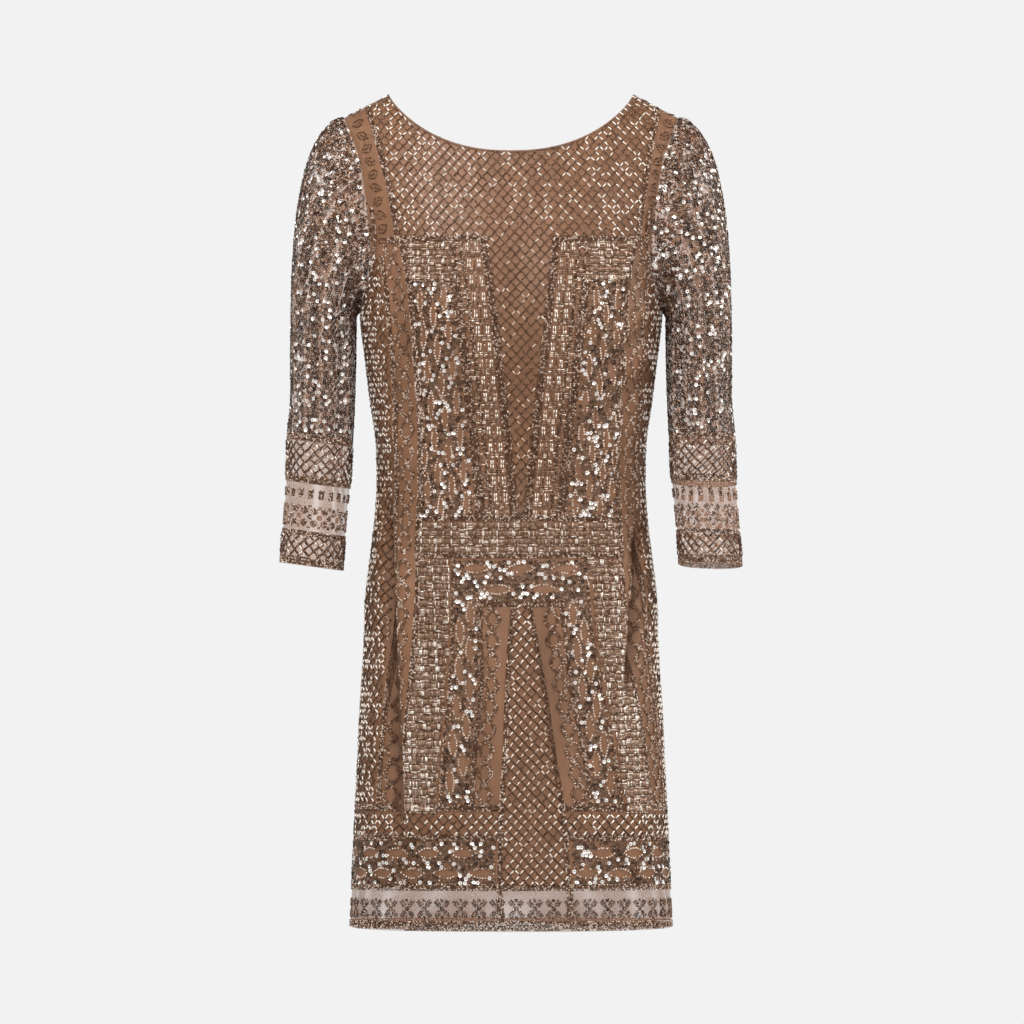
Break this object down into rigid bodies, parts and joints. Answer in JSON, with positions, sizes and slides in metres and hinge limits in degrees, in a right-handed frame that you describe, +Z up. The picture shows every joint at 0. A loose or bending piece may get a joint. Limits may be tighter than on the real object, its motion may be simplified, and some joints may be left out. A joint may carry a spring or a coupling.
{
  "type": "sequin mini dress",
  "caption": "Fitted beaded-net mini dress with a boat neck, sheer sequined three-quarter sleeves and a satin lining above a sheer hem, kept in its worn, hollow form",
  "frame": {"origin": "middle of the neck opening, level with the neck ends of the shoulder seams, where the wearer's shoulders hold the dress", "axes": "+Z up towards the neck, the front faces -Y, +X is the viewer's right"},
  "size_m": [0.4853, 0.2389, 0.8795],
  "materials": {
    "beaded_net": "fine bronze net thick with seed beads, bugles and sequins",
    "satin_lining": "smooth tan satin",
    "sequin_net": "sheer taupe net thick with sequins and seed beads",
    "neck_binding": "narrow bronze-brown bias binding"
  },
  "bodies": {
    "root": {"front": "beaded_net", "back_left": "beaded_net", "back_right": "beaded_net", "lining_front": "satin_lining", "lining_back_left": "satin_lining", "lining_back_right": "satin_lining", "sleeve_left": "sequin_net", "sleeve_right": "sequin_net", "neck_binding": "neck_binding"}
  },
  "joints": []
}
